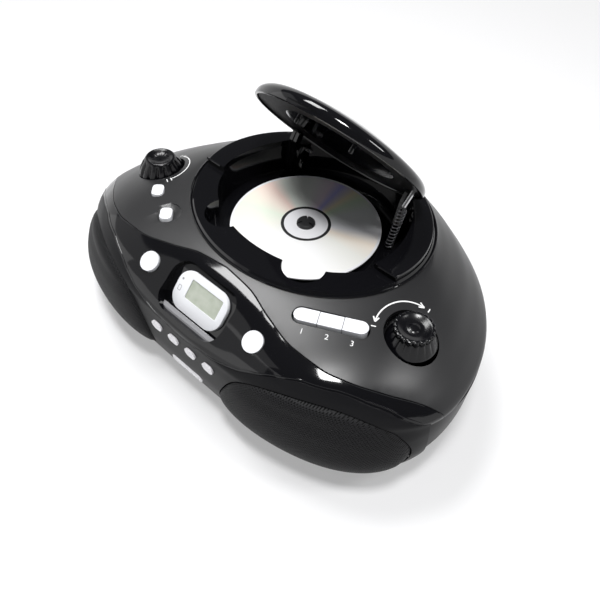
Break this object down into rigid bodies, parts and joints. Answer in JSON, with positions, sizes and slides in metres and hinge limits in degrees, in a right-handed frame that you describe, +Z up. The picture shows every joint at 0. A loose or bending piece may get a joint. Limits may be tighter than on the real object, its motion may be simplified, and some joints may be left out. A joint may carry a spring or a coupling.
{
  "type": "cd boombox",
  "caption": "Rounded tabletop CD radio with an opening domed lid over the disc well, tilted display, two speaker grilles, tuning and volume knobs and push keys",
  "frame": {"origin": "on the floor under the middle of the case", "axes": "+X to the user's right along the width, +Y from the front to the back, +Z up"},
  "size_m": [0.3506, 0.248, 0.203],
  "materials": {
    "satin_black": "fine satin moulded plastic",
    "gloss_black": "high gloss moulded plastic",
    "speaker_mesh": "perforated steel, painted black",
    "speaker_driver": "pressed basket and paper cone",
    "white_plastic": "white glossy plastic",
    "lcd_glass": "grey green liquid crystal panel",
    "circuit_board": "lacquered board with parts",
    "steel": "plated steel",
    "dark_plastic": "plain moulded plastic",
    "disc_foil": "clear lacquer over silver foil",
    "lens": "clear moulded lens",
    "rubber": "soft rubber"
  },
  "bodies": {
    "chassis": {"rear_cabinet": "satin_black", "front_cabinet": "satin_black", "top_cover": "satin_black", "front_mask": "gloss_black", "cd_well": "gloss_black", "rear_crown": "gloss_black", "speaker_grille_left": "speaker_mesh", "speaker_grille_right": "speaker_mesh", "speaker_left": "speaker_driver", "speaker_right": "speaker_driver", "display_bezel": "white_plastic", "lcd_panel": "lcd_glass", "main_board": "circuit_board", "transformer": "steel", "volume_control": "steel", "tuning_capacitor": "steel", "spindle_motor": "steel", "mechanism_frame": "steel", "sled_rods": "steel", "battery_tray": "dark_plastic", "battery_contacts": "steel", "mains_inlet": "dark_plastic", "aux_jack": "dark_plastic", "ferrite_aerial": "dark_plastic", "rubber_feet": "rubber", "hinge_pin_left": "steel", "hinge_pin_right": "steel", "lid_spring": "steel"},
    "lid": {"lid_shell": "gloss_black", "lid_lining": "gloss_black", "lid_arm_left": "gloss_black", "lid_arm_right": "gloss_black"},
    "spindle": {"spindle_hub": "dark_plastic", "compact_disc": "disc_foil"},
    "pickup": {"optical_pickup": "dark_plastic", "pickup_lens": "lens"},
    "volume": {"volume_knob": "satin_black"},
    "tuning": {"tuning_knob": "satin_black"},
    "door": {"battery_door": "satin_black"},
    "previous_button_body": {"previous_button": "white_plastic"},
    "next_button_body": {"next_button": "white_plastic"},
    "function_button_1_body": {"function_button_1": "white_plastic"},
    "function_button_2_body": {"function_button_2": "white_plastic"},
    "function_button_3_body": {"function_button_3": "white_plastic"},
    "function_button_4_body": {"function_button_4": "white_plastic"},
    "memory_button_body": {"memory_button": "white_plastic"},
    "source_key_1_body": {"source_key_1": "white_plastic"},
    "source_key_2_body": {"source_key_2": "white_plastic"},
    "source_key_3_body": {"source_key_3": "white_plastic"},
    "bass_button_body": {"bass_button": "white_plastic"},
    "standby_button_body": {"standby_button": "white_plastic"}
  },
  "joints": [
    {"name": "lid_hinge", "type": "hinge", "parent": "chassis", "child": "lid", "pos_m": [0, 0.0752, 0.1013], "axis": [1, 0, 0], "range_deg": [0, 50], "stiffness_Nm_per_rad": 0.12, "springref_deg": -45.84, "deforming": ["lid_spring"]},
    {"name": "disc_spin", "type": "hinge", "parent": "chassis", "child": "spindle", "pos_m": [0, 0.014, 0.0888], "axis": [0, 0, 1], "continuous": true},
    {"name": "pickup_slide", "type": "slide", "parent": "chassis", "child": "pickup", "axis": [-1, 0, 0], "range_m": [0, 0.032]},
    {"name": "volume_turn", "type": "hinge", "parent": "chassis", "child": "volume", "pos_m": [-0.1286, -0.0245, 0.091], "axis": [0, 0, -1], "range_deg": [0, 300]},
    {"name": "tuning_turn", "type": "hinge", "parent": "chassis", "child": "tuning", "pos_m": [0.1286, -0.0245, 0.091], "axis": [0, 0, -1], "range_deg": [0, 300]},
    {"name": "battery_door_slide", "type": "slide", "parent": "chassis", "child": "door", "axis": [0, 1, 0], "range_m": [0, 0.012]},
    {"name": "previous_press", "type": "slide", "parent": "chassis", "child": "previous_button_body", "axis": [0, 0.5, -0.866], "range_m": [0, 0.0015], "stiffness_N_per_m": 250},
    {"name": "next_press", "type": "slide", "parent": "chassis", "child": "next_button_body", "axis": [0, 0.5, -0.866], "range_m": [0, 0.0015], "stiffness_N_per_m": 250},
    {"name": "function_1_press", "type": "slide", "parent": "chassis", "child": "function_button_1_body", "axis": [0, 1, 0], "range_m": [0, 0.0015], "stiffness_N_per_m": 250},
    {"name": "function_2_press", "type": "slide", "parent": "chassis", "child": "function_button_2_body", "axis": [0, 1, 0], "range_m": [0, 0.0015], "stiffness_N_per_m": 250},
    {"name": "function_3_press", "type": "slide", "parent": "chassis", "child": "function_button_3_body", "axis": [0, 1, 0], "range_m": [0, 0.0015], "stiffness_N_per_m": 250},
    {"name": "function_4_press", "type": "slide", "parent": "chassis", "child": "function_button_4_body", "axis": [0, 1, 0], "range_m": [0, 0.0015], "stiffness_N_per_m": 250},
    {"name": "memory_press", "type": "slide", "parent": "chassis", "child": "memory_button_body", "axis": [0, 1, 0], "range_m": [0, 0.0015], "stiffness_N_per_m": 250},
    {"name": "source_1_press", "type": "slide", "parent": "chassis", "child": "source_key_1_body", "axis": [0, 0, -1], "range_m": [0, 0.0015], "stiffness_N_per_m": 250},
    {"name": "source_2_press", "type": "slide", "parent": "chassis", "child": "source_key_2_body", "axis": [0, 0, -1], "range_m": [0, 0.0015], "stiffness_N_per_m": 250},
    {"name": "source_3_press", "type": "slide", "parent": "chassis", "child": "source_key_3_body", "axis": [0, 0, -1], "range_m": [0, 0.0015], "stiffness_N_per_m": 250},
    {"name": "bass_press", "type": "slide", "parent": "chassis", "child": "bass_button_body", "axis": [0, 0, -1], "range_m": [0, 0.0015], "stiffness_N_per_m": 250},
    {"name": "standby_press", "type": "slide", "parent": "chassis", "child": "standby_button_body", "axis": [0, 0, -1], "range_m": [0, 0.0015], "stiffness_N_per_m": 250}
  ]
}
